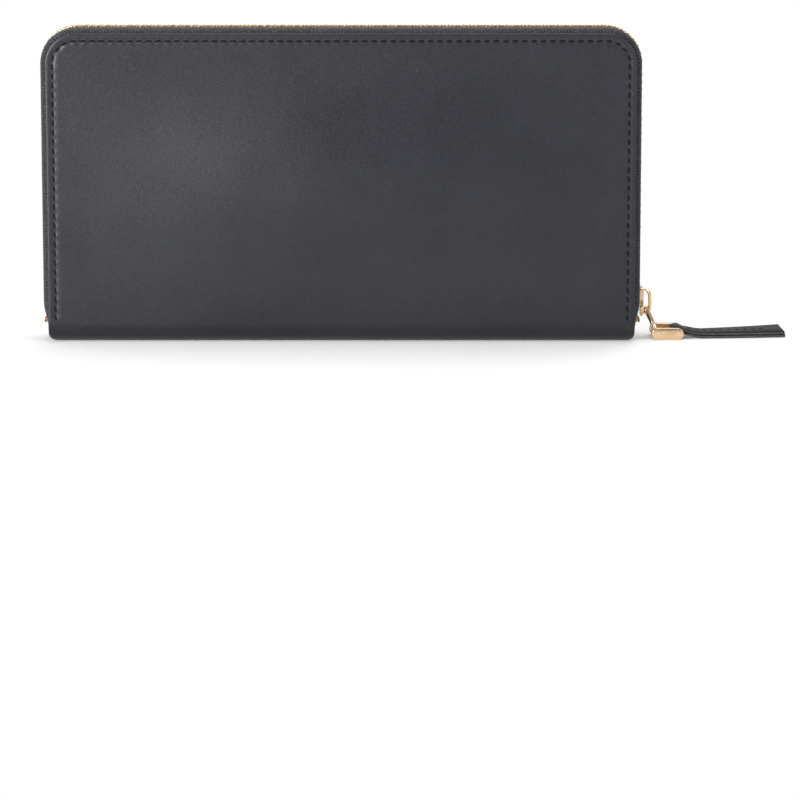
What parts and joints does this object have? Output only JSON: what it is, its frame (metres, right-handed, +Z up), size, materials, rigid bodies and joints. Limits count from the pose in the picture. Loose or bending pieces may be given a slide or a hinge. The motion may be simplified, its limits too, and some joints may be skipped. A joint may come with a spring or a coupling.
{
  "type": "long wallet",
  "caption": "Zip-around long wallet in smooth leather, standing on its spine, with metal zips, an outer zip pocket and strap pulls.",
  "frame": {"origin": "middle of the flat underside of the spine", "axes": "+X along the wallet towards the end that holds the closed zip's slider, -Y the front cover, +Z up from the spine to the zip"},
  "size_m": [0.2472, 0.0329, 0.1044],
  "materials": {
    "leather": "satin",
    "strap_leather": "satin",
    "inner_leather": "matt",
    "tape": "matt",
    "thread": "matt",
    "lining": "matt",
    "board": "matt",
    "antique_brass": "satin",
    "champagne_metal": "polished"
  },
  "bodies": {
    "back_half": {"back_board": "board", "back_card_backing": "inner_leather", "back_card_gusset": "inner_leather", "back_card_pockets": "inner_leather", "back_cover": "leather", "back_cover_stitching": "thread", "back_lining": "lining", "back_zip_stops": "antique_brass", "back_zip_tape": "tape", "back_zip_teeth": "antique_brass", "centre_pocket_back": "inner_leather", "centre_pocket_binding": "inner_leather", "centre_pocket_front": "inner_leather", "pocket_bag": "lining", "pocket_tape_lower": "tape", "pocket_tape_upper": "tape", "pocket_welt_lower": "leather", "pocket_welt_upper": "leather", "pocket_zip_stops": "antique_brass", "pocket_zip_teeth": "antique_brass", "spine_board": "board", "spine_lining": "lining", "spine_panel": "leather"},
    "front_half": {"front_board": "board", "front_card_backing": "inner_leather", "front_card_gusset": "inner_leather", "front_card_pockets": "inner_leather", "front_cover": "leather", "front_cover_stitching": "thread", "front_lining": "lining", "front_zip_stops": "antique_brass", "front_zip_tape": "tape", "front_zip_teeth": "antique_brass"},
    "main_slider": {"main_slider_body": "champagne_metal", "main_slider_crown": "champagne_metal", "main_slider_spring": "champagne_metal"},
    "main_link": {"main_pull_link": "champagne_metal"},
    "main_shackle": {"main_pull_shackle": "champagne_metal", "main_pull_pin": "champagne_metal"},
    "main_tab": {"main_pull_tab": "strap_leather", "main_pull_stitching": "thread"},
    "pocket_slider": {"pocket_slider_body": "champagne_metal", "pocket_slider_crown": "champagne_metal", "pocket_slider_spring": "champagne_metal"},
    "pocket_ring": {"pocket_pull_ring": "champagne_metal"},
    "pocket_tab": {"pocket_pull_tab": "strap_leather", "pocket_pull_stitching": "thread"}
  },
  "joints": [
    {"name": "front_opening", "type": "hinge", "parent": "back_half", "child": "front_half", "pos_m": [0, -0.0104, 0.0019], "axis": [1, 0, 0], "range_deg": [0, 85]},
    {"name": "main_slider_travel", "type": "slide", "parent": "back_half", "child": "main_slider", "axis": [0, 0, 1], "range_m": [0, 0.07]},
    {"name": "main_link_swing", "type": "hinge", "parent": "main_slider", "child": "main_link", "pos_m": [0.1015, 0, 0.00975], "axis": [0, -1, 0], "range_deg": [0, 70]},
    {"name": "main_shackle_swing", "type": "hinge", "parent": "main_link", "child": "main_shackle", "pos_m": [0.10513, 0, 0.00196], "axis": [0, 1, 0], "range_deg": [-60, 60]},
    {"name": "main_tab_swing", "type": "hinge", "parent": "main_shackle", "child": "main_tab", "pos_m": [0.11183, 0, 0.00228], "axis": [0, 1, 0], "range_deg": [-30, 90]},
    {"name": "pocket_slider_travel", "type": "slide", "parent": "back_half", "child": "pocket_slider", "axis": [1, 0, 0], "range_m": [-0.14, 0]},
    {"name": "pocket_ring_swing", "type": "hinge", "parent": "pocket_slider", "child": "pocket_ring", "pos_m": [0.072, 0.01458, 0.07943], "axis": [1, 0, 0], "range_deg": [0, 100]},
    {"name": "pocket_tab_swing", "type": "hinge", "parent": "pocket_ring", "child": "pocket_tab", "pos_m": [0.072, 0.01458, 0.06867], "axis": [1, 0, 0], "range_deg": [0, 60]}
  ]
}
